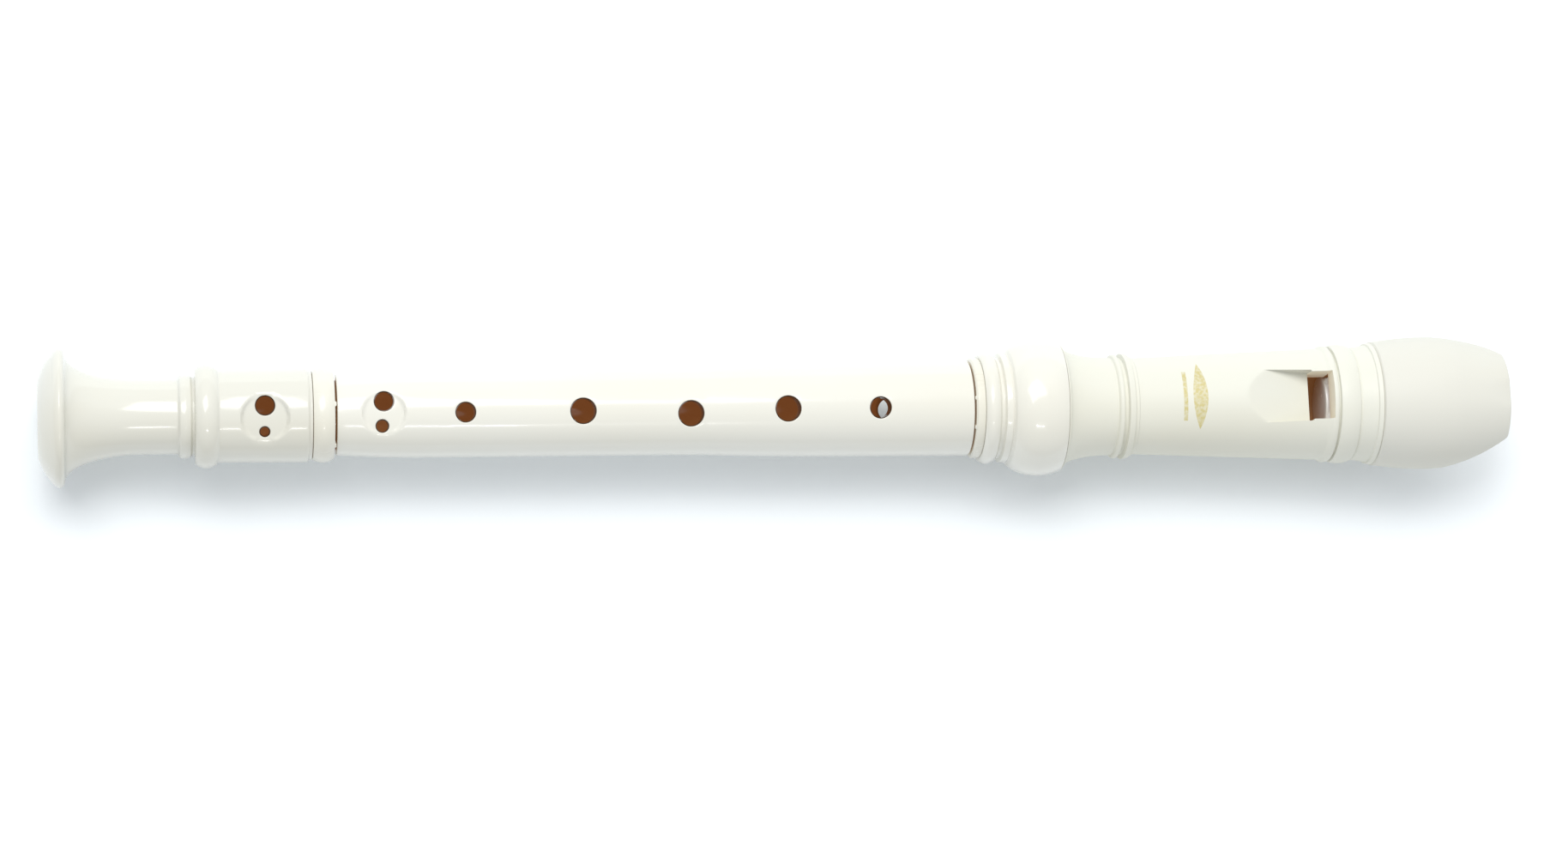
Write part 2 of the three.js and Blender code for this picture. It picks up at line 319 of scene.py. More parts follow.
def turned_grid(outline: Array, angles: Array) -> Array:
    """Points [row, column] = (station, radius * sin(angle), radius * cos(angle)).

    Args:
        outline: one [station, radius] for each row.
        angles: the columns' angles from the top, the same for every row or one set a row.

    Returns:
        The grid, rows by columns by three.
    """
    angles = np.broadcast_to(angles, (len(outline), angles.shape[-1]))
    station = np.broadcast_to(outline[:, :1], angles.shape)
    return np.stack([station, outline[:, 1:] * np.sin(angles), outline[:, 1:] * np.cos(angles)], 2)


class Shell:
    """A closed surface: an outer grid of points, and an inner one that turns it back inside.

    Rows run by rising station and columns run round from the top towards +y, so each face
    [row, column], [row + 1, column], [row + 1, column + 1], [row, column + 1] points outward.
    """

    def __init__(self, outer: Array, inner: Array, outer_depth: Array, inner_depth: Array) -> None:
        """Starts a shell with no openings.

        Args:
            outer: the outer grid.
            inner: the inner grid, by rising station too.
            outer_depth: how far inside the recorder each outer row looks, 0 to 1, which sets its painted shade.
            inner_depth: the same for the inner rows.
        """
        self.outer_rows, self.inner_rows, self.columns = len(outer), len(inner), outer.shape[1]
        self.grid = np.concatenate([outer, inner[::-1]])
        depth = np.concatenate([outer_depth, inner_depth[::-1]])
        self.points = [self.grid.reshape(-1, 3)]
        self.depths = [np.repeat(depth, self.columns)]
        self.count = self.grid.shape[0] * self.columns
        self.kept = np.ones(self.grid.shape[:2], bool)
        self.faces: list[Array] = []

    def _border(self, rows: Array, columns: Array) -> Array:
        """Point numbers once round the edge of a block of the grid."""
        row = np.concatenate(
            [rows[:-1], np.full(len(columns) - 1, rows[-1]), rows[:0:-1], np.full(len(columns) - 1, rows[0])]
        )
        column = np.concatenate(
            [np.full(len(rows) - 1, columns[0]), columns[:-1], np.full(len(rows) - 1, columns[-1]), columns[:0:-1]]
        )
        return row * self.columns + column % self.columns

    def edges(self, stations: Pair, columns: tuple[int, int]) -> tuple[Array, Array]:
        """Cuts a block of cells out of both grids.

        Args:
            stations: first and last station of the block.
            columns: its first and last column.

        Returns:
            Point numbers round the edge of the block in the outer grid and in the inner one, in step.
        """
        near = 1e-3
        station = self.grid[:, 0, 0]
        inside = (station > stations[0] - near) & (station < stations[1] + near)
        number = np.arange(len(self.grid))
        outer = number[inside & (number < self.outer_rows)]
        inner = number[inside & (number >= self.outer_rows)][::-1]
        across = np.arange(columns[0], columns[1] + 1)
        cells = across[:-1] % self.columns
        self.kept[np.ix_(outer[:-1], cells)] = False
        self.kept[np.ix_(inner[1:], cells)] = False
        return self._border(outer, across), self._border(inner, across)

    def bridge(self, start: Array, end: Array, rings: Array, depths: Array) -> None:
        """Walls from one edge to another, by way of rings of new points.

        Args:
            start: point numbers of the outer edge.
            end: point numbers of the inner edge, in step with it.
            rings: the new points, rings by points by three.
            depths: how far inside each ring looks.
        """
        numbers = self.count + np.arange(len(rings) * len(start)).reshape(len(rings), len(start))
        self.points.append(rings.reshape(-1, 3))
        self.depths.append(np.repeat(depths, len(start)))
        self.count += numbers.size
        loops = np.vstack([start[None], numbers, end[None]])
        after = np.roll(loops, -1, axis=1)
        self.faces.append(np.stack([loops[:-1], after[:-1], after[1:], loops[1:]], -1).reshape(-1, 4))

    def drill(self, hole: Hole, columns: tuple[int, int], outside: Height, inside: Height) -> None:
        """Cuts a round hole: the cut block's edge closes in to a circle, rounds over, draws in and goes down.

        Args:
            hole: the hole.
            columns: first and last column of the block that it is cut between.
            outside: the outer surface's height at a station and y.
            inside: the bore's height there.
        """
        rows = hole.rows()
        outer, inner = self.edges((rows[0], rows[-1]), columns)
        everything = np.concatenate(self.points)
        sign = -1 if hole.from_below else 1
        centre = np.array([hole.station, hole.y])

        def circle(edge: Array, radius: float) -> Array:
            """Points at one radius from the centre, each in the direction of an edge point."""
            away = edge - centre
            return centre + away * radius / np.hypot(*away.T)[:, None]

        def lifted(plan: Array, height: Height, drop: float = 0.0) -> Array:
            """Plan points put on a surface, or a little inside it."""
            return np.column_stack([plan, sign * (height(*plan.T) - drop)])

        outer_plan, inner_plan = everything[outer, :2], everything[inner, :2]
        rings, depths = [], []
        for share in (0.35, 0.7, 1.0):
            plan = outer_plan * (1 - share) + circle(outer_plan, hole.radius + hole.rim) * share
            rings.append(lifted(plan, outside))
            depths.append(0.0)
        for angle in np.radians([22, 45, 68, 90]):
            plan = circle(outer_plan, hole.radius + hole.rim * (1 - math.sin(angle)))
            rings.append(lifted(plan, outside, hole.rim * (1 - math.cos(angle))))
            depths.append(0.0)
        top = rings[-1]
        waist = hole.radius - hole.draw
        foot = lifted(circle(outer_plan, waist), inside)
        turned_in = circle(inner_plan, waist)
        rings += [top * 0.94 + foot * 0.06, lifted(circle(outer_plan, waist), outside, hole.rim + hole.draw)]
        rings += [foot * 0.5 + rings[-1] * 0.5, lifted(turned_in, inside)]
        # painted shade: near black down the hole's wall, lighter where it meets the bore
        depths += [0.95, 1.0, 1.0, 0.8]
        rings.append(lifted(turned_in * 0.5 + inner_plan * 0.5, inside))
        depths.append(BORE_DEPTH)
        self.bridge(outer, inner, np.array(rings), np.array(depths))

    def finished(self) -> Surface:
        """The points that are used, the faces and the depths.

        Returns:
            Points by three, faces by four, and one depth a point.
        """
        rows, columns = self.grid.shape[:2]
        k, j = np.nonzero(self.kept)
        k2, j2 = (k + 1) % rows, (j + 1) % columns
        cells = np.column_stack([k * columns + j, k2 * columns + j, k2 * columns + j2, k * columns + j2])
        faces = np.vstack([cells, *self.faces])
        used, numbers = np.unique(faces, return_inverse=True)
        points, depths = np.concatenate(self.points), np.concatenate(self.depths)
        return points[used], numbers.reshape(-1, 4), depths[used]


def column_angles() -> Array:
    """Evenly spread angles of the columns, from the top towards +y."""
    return np.arange(COLUMNS) * 2 * np.pi / COLUMNS


def plain_shell(outer: Array, inner: Array, inner_depth: float) -> Shell:
    """A turned tube with no holes, from its outer and inner outlines, its inside given the painted shade of
    inner_depth.
    """
    angles = column_angles()
    return Shell(
        turned_grid(outer, angles),
        turned_grid(inner, angles),
        np.zeros(len(outer)),
        np.full(len(inner), inner_depth),
    )


# Finishes


@dataclass(frozen=True)
class Plastic:
    """A moulded plastic: its colour, the painted shade and painted glow inside the bore and holes, its gloss, and its
    moulding marks.
    """

    name: str
    colour: Triple
    # painted shade: brown in the bore and near black on the holes' walls
    bore_shade: Triple = (0.42, 0.25, 0.12)
    hole_wall_shade: Triple = (0.02, 0.008, 0.004)
    glow: Triple = (0.085, 0.033, 0.0105)  # daylight that soaks through the wall
    edge_glow: Triple = (0.17, 0.145, 0.10)  # the same in a thin wall
    gloss: float = 0.17  # mean roughness
    gloss_spread: float = 0.04
    coat: float = 0.5
    grain: float = 0.012  # strength of the fine skin texture
    ornament: Pair | None = None  # station and half width of a gold band, if it has one

    def material(self) -> bpy.types.Material:
        """The node material: painted shade and a painted glow by depth into the bore and holes, tint and gloss that
        vary slowly, scuffs that dull it, and fine grain and a seam that raise it.
        """
        material = bpy.data.materials.new(self.name)
        material.use_nodes = True
        tree = material.node_tree
        tree.nodes.clear()
        new, link = tree.nodes.new, tree.links.new

        def noise(scale: float, detail: float, vector: Socket) -> Socket:
            """A noise texture's value over the object's own coordinates."""
            node = new("ShaderNodeTexNoise")
            node.inputs["Scale"].default_value = scale
            node.inputs["Detail"].default_value = detail
            link(vector, node.inputs["Vector"])
            return node.outputs["Fac"]

        def spread(value: Socket, source: Pair, target: Pair) -> Socket:
            """A value carried from one range to another and held inside it."""
            node = new("ShaderNodeMapRange")
            for name, number in zip(("From Min", "From Max", "To Min", "To Max"), (*source, *target)):
                node.inputs[name].default_value = number
            link(value, node.inputs["Value"])
            return node.outputs["Result"]

        def maths(kind: str, a: Socket, b: Socket | float = 0.0) -> Socket:
            """One sum on one or two values."""
            node = new("ShaderNodeMath")
            node.operation = kind
            link(a, node.inputs[0])
            if isinstance(b, float):
                node.inputs[1].default_value = b
            else:
                link(b, node.inputs[1])
            return node.outputs["Value"]

        def mixed(share: Socket, a: Socket, colour: Triple) -> Socket:
            """A colour with some of another mixed into it."""
            node = new("ShaderNodeMix")
            node.data_type = "RGBA"
            link(share, node.inputs["Factor"])
            link(a, node.inputs["A"])
            node.inputs["B"].default_value = (*colour, 1)
            return node.outputs["Result"]

        place = new("ShaderNodeTexCoord").outputs["Object"]
        stretched = new("ShaderNodeMapping")
        stretched.inputs["Scale"].default_value = (0.25, 1, 1)
        link(place, stretched.inputs["Vector"])

        # painted shade by the depth attribute: the plastic's own colour outside, brown in the bore, near black on the
        # holes' walls
        depth = new("ShaderNodeAttribute")
        depth.attribute_name = "depth"
        ramp = new("ShaderNodeValToRGB")
        ramp.color_ramp.elements[0].color = (*self.colour, 1)
        ramp.color_ramp.elements[1].color = (*self.hole_wall_shade, 1)
        middle = ramp.color_ramp.elements.new(BORE_DEPTH)
        middle.color = (*self.bore_shade, 1)
        link(depth.outputs["Fac"], ramp.inputs["Fac"])

        # painted glow by the same depth, standing in for daylight through the wall
        lit = new("ShaderNodeValToRGB")
        lit.color_ramp.elements[0].color = (0, 0, 0, 1)
        lit.color_ramp.elements[1].color = (0, 0, 0, 1)
        for position, shade in ((0.06, self.edge_glow), (0.14, self.edge_glow), (0.3, self.glow)):
            lit.color_ramp.elements.new(position).color = (*shade, 1)
        lit.color_ramp.elements.new(BORE_DEPTH).color = (*self.glow, 1)
        link(depth.outputs["Fac"], lit.inputs["Fac"])

        cloud = noise(38, 3, stretched.outputs["Vector"])
        warm = tuple(channel * scale for channel, scale in zip(self.colour, (0.97, 0.94, 0.87)))
        outside = spread(depth.outputs["Fac"], (0.0, 0.3), (1.0, 0.0))
        tint = maths("MULTIPLY", spread(cloud, (0.42, 0.68), (0.0, 0.55)), outside)
        colour = mixed(tint, ramp.outputs["Color"], warm)

        scuff_noise = noise(420, 4, stretched.outputs["Vector"])
        scuffs = spread(scuff_noise, (0.60, 0.72), (0.0, 1.0))
        rough = spread(cloud, (0.35, 0.65), (self.gloss - self.gloss_spread, self.gloss + self.gloss_spread))
        rough = maths("ADD", rough, maths("MULTIPLY", scuffs, 0.09))

        apart = new("ShaderNodeSeparateXYZ")
        link(place, apart.inputs["Vector"])
        from_axis = maths("ABSOLUTE", maths("SUBTRACT", apart.outputs["Z"], axis_height() * MM))
        seam = spread(from_axis, (0.00003, 0.00016), (1.0, 0.0))
        grain = noise(2600, 2, place)
        relief = maths("ADD", grain, maths("MULTIPLY", seam, 1.6))

        shader = new("ShaderNodeBsdfPrincipled")
        if self.ornament:
            gilt = self._ornament(maths, spread, noise(1500, 3, place), apart)
            colour = mixed(maths("MULTIPLY", gilt, outside), colour, (0.58, 0.50, 0.20))
            link(maths("MULTIPLY", gilt, 0.1), shader.inputs["Metallic"])
        bump = new("ShaderNodeBump")
        bump.inputs["Strength"].default_value = self.grain
        bump.inputs["Distance"].default_value = 0.00006
        link(relief, bump.inputs["Height"])
        link(lit.outputs["Color"], shader.inputs["Emission Color"])
        shader.inputs["Emission Strength"].default_value = 1.0
        link(colour, shader.inputs["Base Color"])
        link(rough, shader.inputs["Roughness"])
        link(bump.outputs["Normal"], shader.inputs["Normal"])
        shader.inputs["IOR"].default_value = 1.5
        shader.inputs["Coat Weight"].default_value = self.coat
        shader.inputs["Coat Roughness"].default_value = 0.04
        output = new("ShaderNodeOutputMaterial")
        link(shader.outputs["BSDF"], output.inputs["Surface"])
        return material

    def _ornament(
        self,
        maths: Callable,
        spread: Callable,
        wear: Socket,
        apart: bpy.types.Node,
    ) -> Socket:
        """A plain gold ornament around the top of the barrel: a slim pointed oval and a bar beside it.

        With v the distance round from its middle over its half height, the oval is where the distance
        along from its centre is under half_width * (1 - v^2), and the bar where it is near its own line.

        Args:
            maths: makes a node that does one sum.
            spread: makes a node that carries one range to another.
            wear: a noise that thins the gold.
            apart: the node that gives the object coordinates one by one.

        Returns:
            The share of gold, 0 to 1.
        """
        station, half_width = self.ornament
        centre = (bell_end() + station) * MM
        half_height, barrel_radius = 7.5 * MM, 11.3 * MM
        tilt = math.sin(math.radians(-HEAD_TURN)) * barrel_radius
        v = maths("DIVIDE", maths("SUBTRACT", apart.outputs["Y"], tilt), half_height)
        inside = maths("SUBTRACT", maths("MULTIPLY", v, v), 1.0)
        room = maths("MULTIPLY", inside, -half_width * MM)
        along = maths("SUBTRACT", apart.outputs["X"], centre)
        oval = spread(maths("SUBTRACT", room, maths("ABSOLUTE", along)), (0.0, 0.00006), (0.0, 1.0))
        off_bar = maths("ABSOLUTE", maths("ADD", along, (half_width + 1.7) * MM))
        bar = spread(off_bar, (0.00042, 0.0005), (1.0, 0.0))
        bar_end = spread(maths("ABSOLUTE", v), (0.72, 0.74), (1.0, 0.0))
        up = spread(apart.outputs["Z"], (axis_height() * MM, axis_height() * MM + 0.0005), (0.0, 1.0))
        shape = maths("MULTIPLY", maths("MAXIMUM", oval, maths("MULTIPLY", bar, bar_end)), up)
        return maths("MULTIPLY", shape, spread(wear, (0.30, 0.62), (0.35, 0.9)))


@dataclass(frozen=True)
class PaleFloor:
    """A plain pale paper floor with a very faint tooth."""

    colour: Triple = (0.94, 0.975, 1.0)

    def material(self) -> bpy.types.Material:
        """A rough material whose brightness varies by a hair."""
        material = bpy.data.materials.new("pale_floor")
        material.use_nodes = True
        tree = material.node_tree
        shader = tree.nodes["Principled BSDF"]
        shader.inputs["Roughness"].default_value = 0.9
        place = tree.nodes.new("ShaderNodeTexCoord")
        noise = tree.nodes.new("ShaderNodeTexNoise")
        noise.inputs["Scale"].default_value = 900
        ramp = tree.nodes.new("ShaderNodeValToRGB")
        ramp.color_ramp.elements[0].color = (*(0.99 * c for c in self.colour), 1)
        ramp.color_ramp.elements[1].color = (*self.colour, 1)
        tree.links.new(place.outputs["Object"], noise.inputs["Vector"])
        tree.links.new(noise.outputs["Fac"], ramp.inputs["Fac"])
        tree.links.new(ramp.outputs["Color"], shader.inputs["Base Color"])
        return material


# Pieces


@dataclass
class Piece:
    """One visible piece: what it stands for, what it rides on and how it is finished."""

    node: str
    body: Body
    slot: Slot
    finish: Plastic
    turn: float = 0.0  # degrees about the bore's axis, from its drawn position

    def shell(self) -> Surface:
        """Points, faces and depths of the piece, by station. Each kind of piece has its own."""
        raise NotImplementedError

    def build(self) -> bpy.types.Object:
        """Makes the piece's mesh in the frame, dresses it, and puts it on its body.

        Returns:
            The finished object.
        """
        points, faces, depths = self.shell()
        angle = math.radians(self.turn)
        y = points[:, 1] * math.cos(angle) - points[:, 2] * math.sin(angle)
        z = points[:, 1] * math.sin(angle) + points[:, 2] * math.cos(angle)
        placed = np.column_stack([points[:, 0] + bell_end(), y, z + axis_height()]) * MM
        corners = [list(dict.fromkeys(face)) for face in faces.tolist()]
        mesh = bpy.data.meshes.new(self.node)
        mesh.from_pydata(placed.tolist(), [], corners)
        mesh.polygons.foreach_set("use_smooth", np.ones(len(corners), bool))
        mesh.set_sharp_from_angle(angle=math.radians(SHARP_ANGLE))
        mesh.attributes.new("depth", "FLOAT", "POINT").data.foreach_set("value", depths.astype(np.float32))
        mesh.materials.append(self.finish.material())
        mesh.update()
        piece = bpy.data.objects.new(f"{self.node}_skin", mesh)
        bpy.context.collection.objects.link(piece)
        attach(piece, self.body.value)
        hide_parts(self.node)
        log.info("%s: %d points, %d faces, rides on %s", piece.name, len(placed), len(corners), self.body.value)
        return piece


@dataclass
class DrilledTube(Piece):
    """A turned tube with holes through its wall, one of them a pair in a dish."""

    holes: tuple[Hole, ...] = ()
    pair: tuple[Hole, Hole] | None = None  # the big hole and the small one
    dish: Dish | None = None
    pair_reach: int = 28  # columns on either side of the top that the pair is cut between
    pair_split: int = -2  # the column between its two holes
    mouth_fade: Pair | None = None  # stations between which the bore's painted shade comes in

    def outer(self) -> Array:
        """The outer outline."""
        raise NotImplementedError

    def inner(self) -> Array:
        """The bore's outline."""
        raise NotImplementedError

    def joint_shade(self, outer: Array) -> Array:
        """Painted shade on each outer row. A tube without tenons has none."""
        return np.zeros(len(outer))

    def shell(self) -> Surface:
        """The tube's two turned grids, with the dish sunk in and the holes cut.

        Angles in the bore are spread towards the holes, as angle + a * sin(angle) beside the pair and
        as angle + b * sin(2 * angle) elsewhere, so that each hole lands inside its block there too.

        Returns:
            Points, faces and depths.
        """
        cut = [hole.rows() for hole in (*self.holes, *(self.pair or ()))]
        if self.dish:
            cut.append(self.dish.rows())
        rows = np.unique(np.round(np.concatenate(cut) / PITCH)) * PITCH
        outer, inner = resampled(self.outer(), rows), resampled(self.inner(), rows)
        angles = column_angles()
        station = inner[:, :1]
        near_pair = np.zeros_like(station)
        if self.pair:
            near_pair = 1 - smooth_step((np.abs(station - self.dish.station) - 7) / 5)
        inner_angles = angles + 0.98 * near_pair * np.sin(angles) + 0.4 * (1 - near_pair) * np.sin(2 * angles)
        outer_grid, inner_grid = turned_grid(outer, angles), turned_grid(inner, inner_angles)
        if self.dish:
            outer_grid[:, :, 2] = self.dish.sink(outer_grid[:, :, 0], outer_grid[:, :, 1], outer_grid[:, :, 2])
        inner_depth = np.full(len(inner), BORE_DEPTH)
        # painted shade: none at the bell's mouth, full further into the bore
        if self.mouth_fade:
            first, last = self.mouth_fade
            inner_depth *= smooth_step((inner[:, 0] - first) / (last - first))
        shell = Shell(outer_grid, inner_grid, self.joint_shade(outer), inner_depth)

        def plain(station: Array, y: Array) -> Array:
            """Height of the tube's outside away from any dish."""
            return round_height(outer, station, y)

        def outside(station: Array, y: Array) -> Array:
            """Height of the tube's outside, with its dish."""
            z = plain(station, y)
            return self.dish.sink(station, y, z) if self.dish else z

        def inside(station: Array, y: Array) -> Array:
            """Height of the bore's wall."""
            return round_height(inner, station, y)

        for hole in self.holes:
            radius = float(np.interp(hole.station, *outer.T))
            surface = plain if hole.from_below else outside
            shell.drill(hole, hole.columns(radius), surface, inside)
        if self.pair:
            big, small = self.pair
            shell.drill(big, (self.pair_split, self.pair_reach), outside, inside)
            shell.drill(small, (-self.pair_reach, self.pair_split), outside, inside)
        return shell.finished()


@dataclass
class BodyTube(DrilledTube):
    """The middle joint: finger holes 1 to 5, the pair for finger 6, the thumb hole and two tenons."""

    start_radius: float = 8.95
    middle_radius: float = 9.65
    upper_radius: float = 10.4
    end_radius: float = 10.7
    shoulders: Pair = (64.7, 206.0)
    tenon_radii: Pair = (7.6, 8.2)
    bore_radii: Pair = (5.6, 6.4)

    def outer(self) -> Array:
        """Tenon, shoulder, the barrel's slow swelling, shoulder and tenon."""
        first, last = reach(self.node)
        low, high = self.tenon_radii
        start, end = self.shoulders
        return eased(
            joined(
                [(first, self.bore_radii[0]), (first, low - 0.4), (first + 0.8, low)],
                [(start - 0.7, low), (start - 0.6, low), (start, low)],
                bowed((start, self.start_radius), (82, self.middle_radius), 0.1),
                [(138, self.middle_radius + 0.1)],
                bowed((146, self.middle_radius + 0.2), (176, self.upper_radius + 0.1), 0.12),
                [(end, self.end_radius), (end, high), (end + 0.6, high), (end + 0.7, high)],
                [(last - 0.8, high), (last, high - 0.4), (last, self.bore_radii[1])],
            ),
            0.3,
        )

    def joint_shade(self, outer: Array) -> Array:
        """Painted shade: dark rows in the corner at the foot of each tenon, where the joint's gap falls in shade."""
        station, radius = outer.T
        start, end = self.shoulders
        at_start = (station > start - 0.65) & (station < start + 0.01) & (radius < self.start_radius - 0.5)
        at_end = (station > end - 0.01) & (station < end + 0.65) & (radius < self.end_radius - 0.5)
        return np.where(at_start | at_end, 0.8, 0.0)

    def inner(self) -> Array:
        """A plain taper."""
        first, last = reach(self.node)
        stations = np.linspace(first + 0.05, last - 0.05, 24)
        return np.column_stack([stations, np.linspace(*self.bore_radii, 24)])


@dataclass
class FootJoint(DrilledTube):
    """The foot: the bell, the neck, two turned rings and the barrel with the pair for finger 7."""

    rim_radius: float = 15.4
    bell_edge: float = 8.9
    neck_radius: float = 8.25
    barrel_radius: float = 10.3
    socket_radius: float = 9.25
    socket_start: float = 53.8
    bore_radii: Triple = (8.6, 5.0, 5.5)
    funnel: float = 9.0

    def outer(self) -> Array:
        """The bell's rounded rim, its long cove, the neck, the fine ring, the groove, the bead and the barrel."""
        first, last = reach(self.node)
        neck, barrel = self.neck_radius, self.barrel_radius
        return eased(
            joined(
                [(first, self.bore_radii[0])],
                bowed((first, self.bell_edge), (first + 3.0, 14.15), 0.32, 12),
                bowed((first + 3.1, 14.25), (first + 4.6, self.rim_radius), 0.15, 8),
                bowed((first + 4.8, self.rim_radius), (5.7, 14.6), 0.16, 5),
                coved((5.8, 14.2), (22.5, neck), 26),
                [(30.2, neck), (30.7, 9.05), (31.9, 9.25), (33.0, 9.05), (33.3, 8.6), (33.8, 8.6)],
                bowed((34.0, 10.5), (38.7, 10.6), 0.9, 12),
                [(39.1, barrel - 0.1), (58.4, barrel + 0.1), (58.8, barrel - 0.4), (last, barrel - 0.4)],
                [(last, self.socket_radius)],
            ),
            0.22,
        )

    def inner(self) -> Array:
        """The funnel in the bell's end, the bore, and the socket for the ring's liner."""
        first, last = reach(self.node)
        mouth, low, high = self.bore_radii
        stations = np.linspace(self.funnel, self.socket_start, 16)
        return joined(
            bowed((first + 0.05, mouth), (self.funnel, low), -0.25),
            np.column_stack([stations[1:], np.linspace(low, high, 16)[1:]]),
            [(self.socket_start, self.socket_radius), (last - 0.05, self.socket_radius)],
        )


@dataclass
class SocketLiner(Piece):
    """A ring at a socket's mouth with a thin liner behind it, and small nibs that bridge the joint's gap."""

    inside: float = 8.0
    wall: float = 0.9
    flange: float = 10.5
    flange_width: float = 4.5
    mouth_first: bool = False  # whether the mouth is the end at the lower station
    nibs: tuple[float, ...] = ()  # degrees from the top towards +y
    nib_length: float = 0.33
    nib_width: float = 0.45  # half of it, along the ring
    seam: float = 0.18  # how far its flange reaches into the gap behind it
    edge: float = 0.25  # how far its corners are rounded

    def shell(self) -> Surface:
        """The turned ring and liner, with the mouth's face pushed out where it has a nib.

        Returns:
            Points, faces and depths.
        """
        first, last = reach(self.node)
        behind = self.inside + self.wall
        width = self.flange_width
        if self.mouth_first:
            outer = joined(
                [(first, self.inside + 0.25), (first, self.flange - 0.5), (first + 0.4, self.flange)],
                [(first + width + self.seam, self.flange), (first + width + self.seam, behind)],
                [(last, behind), (last, self.inside + 0.1)],
            )
        else:
            outer = joined(
                [(first, self.inside + 0.1), (first, behind), (last - width - self.seam, behind)],
                bowed((last - width - self.seam, self.flange - 0.75), (last, self.flange - 0.75), 0.72, 16),
                [(last, self.inside + 0.25)],
            )
        inner = joined([(first + 0.02, self.inside), (last - 0.02, self.inside)])
        shell = plain_shell(eased(outer, self.edge), inner, 0.3)
        points, faces, depths = shell.finished()
        mouth, push = (first, -1) if self.mouth_first else (last, 1)
        radius = np.hypot(points[:, 1], points[:, 2])
        angle = np.degrees(np.arctan2(points[:, 1], points[:, 2]))
        for nib in self.nibs:
            along_ring = np.radians(np.abs(angle - nib)) * radius
            nearby = (np.abs(points[:, 0] - mouth) < 0.12) & (along_ring < self.nib_width)
            points[nearby & (radius > self.flange - 1.4), 0] += push * self.nib_length
        return points, faces, depths


@dataclass
class HeadBulb(Piece):
    """The turned shell around the head's socket: a bead, a groove, a fine ring and the round bulb."""

    seam: float = 0.2  # how far it reaches into the gap before the barrel
    bulb_radius: float = 15.4
    tail_inside: float = 9.9
    tail_outside: float = 11.2
    tail_start: float = 215.3

    def shell(self) -> Surface:
        """The turned shell, its inside stepped for the barrel's tail.

        Returns:
            Points, faces and depths.
        """
        first, last = reach(self.node)
        last += self.seam
        outer = eased(
            joined(
                [(first, self.tail_inside)],
                bowed((first, 11.7), (first + 3.1, 12.1), 0.7, 12),
                [(212.1, 11.3), (212.8, 11.3), (213.1, 12.25), (214.4, 12.4), (214.7, 12.2), (214.95, 12.6)],
                bowed((215.2, 13.1), (219.9, 15.2), 0.42, 12),
                [(221.2, self.bulb_radius), (222.3, self.bulb_radius)],
                bowed((223.3, 15.3), (last, 14.35), 0.14, 8),
                [(last, self.tail_outside)],
            ),
            0.14,
        )
        inner = joined(
            [(first + 0.02, self.tail_inside), (self.tail_start, self.tail_inside)],
            [(self.tail_start, self.tail_outside), (last - 0.02, self.tail_outside)],
        )
        return plain_shell(outer, inner, 0.3).finished()


@dataclass(frozen=True)
class Windway:
    """The flat channel from the beak's tip to the window, on straight lines between two stations."""

    at_window: float = 287.9
    floor: Pair = (6.2, 8.7)
    roof: Pair = (7.9, 10.2)
    half_width: float = 5.4
    length: float = 329.2

    def _height(self, pair: Pair, station: Array | float) -> Array | float:
        """A height on the line through the pair, first at the window and then at the tip."""
        return pair[0] + (pair[1] - pair[0]) * (station - self.at_window) / (self.length - self.at_window)

    def floor_at(self, station: Array | float) -> Array | float:
        """Height of the floor at a station."""
        return self._height(self.floor, station)

    def roof_at(self, station: Array | float) -> Array | float:
        """Height of the roof at a station."""
        return self._height(self.roof, station)


